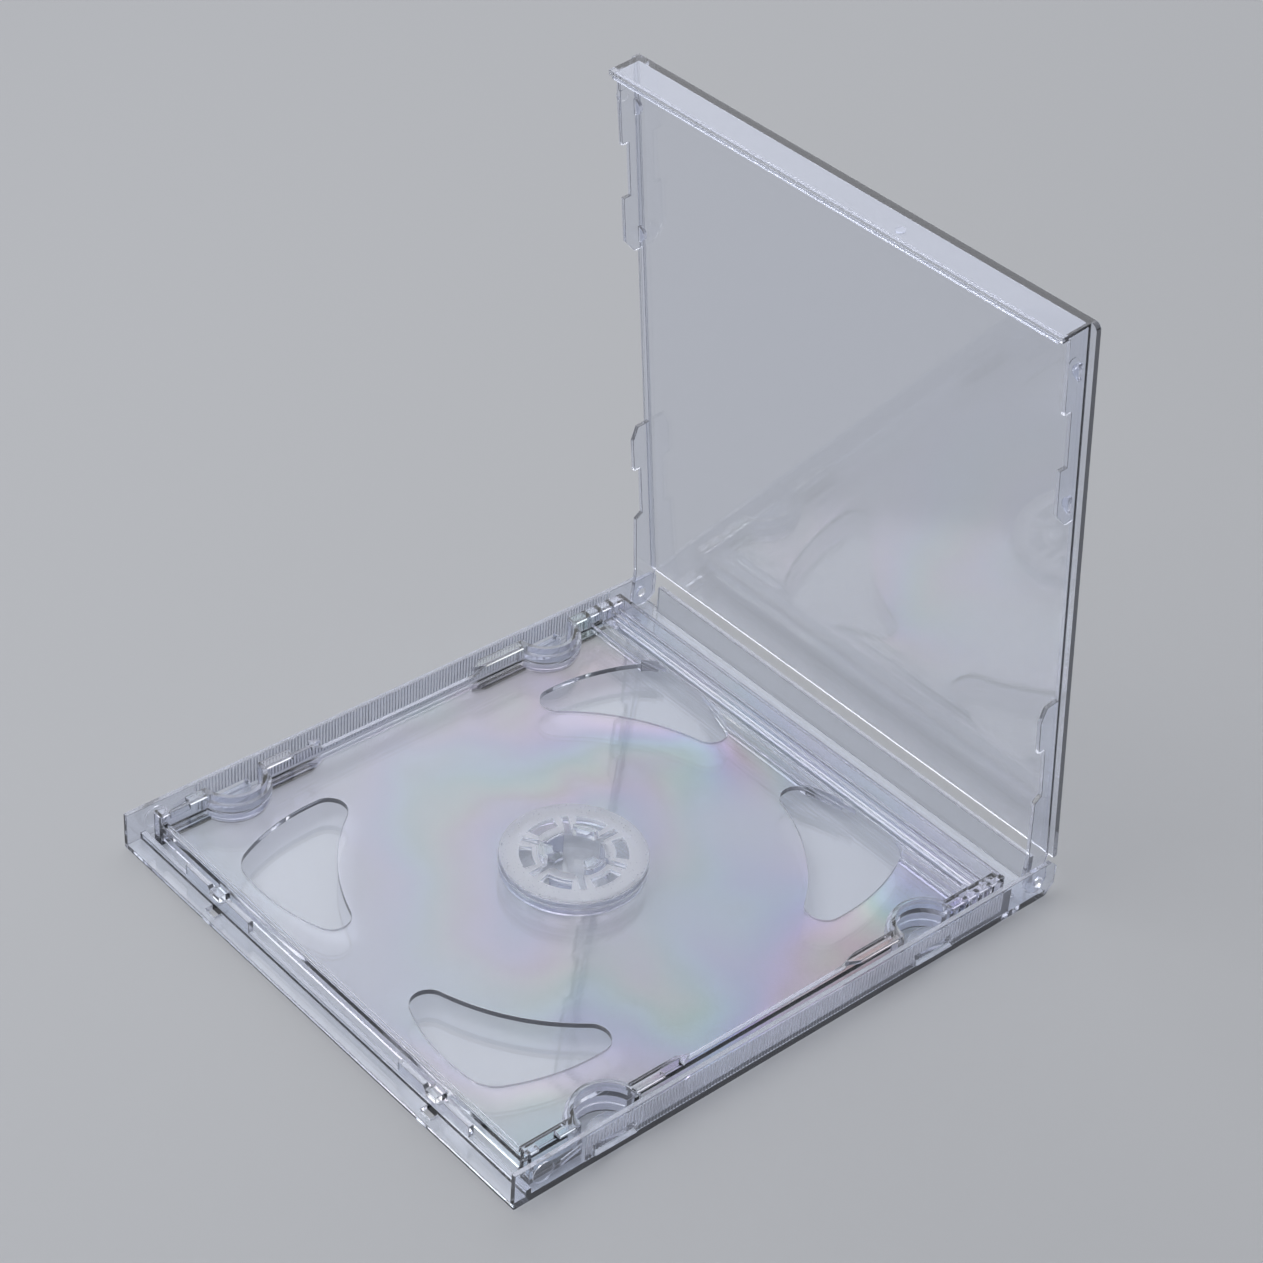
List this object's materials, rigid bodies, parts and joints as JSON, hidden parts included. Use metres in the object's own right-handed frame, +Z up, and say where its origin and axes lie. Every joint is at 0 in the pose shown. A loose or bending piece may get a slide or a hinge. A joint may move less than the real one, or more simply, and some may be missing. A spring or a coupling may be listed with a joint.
{
  "type": "disc jewel case",
  "caption": "Clear hinged disc case, lid open, with a double-sided disc tray, finger openings and a springy centre hub.",
  "frame": {"origin": "centre of the underside of the base", "axes": "+X towards the spine and the lid's hinge, +Z up, +Y to the left when the spine is behind"},
  "size_m": [0.142, 0.1244, 0.1417],
  "materials": {
    "clear_base": "clear polystyrene, polished",
    "clear_lid": "clear polystyrene, polished",
    "clear_tray": "clear polystyrene, polished, faintly milky"
  },
  "bodies": {
    "case": {"base": "clear_base", "tray": "clear_tray"},
    "lid": {"lid": "clear_lid"}
  },
  "joints": [
    {"name": "lid_hinge", "type": "hinge", "parent": "case", "child": "lid", "pos_m": [0.066, 0, 0.0051], "axis": [0, 1, 0], "range_deg": [-83.2, 96.8]}
  ]
}
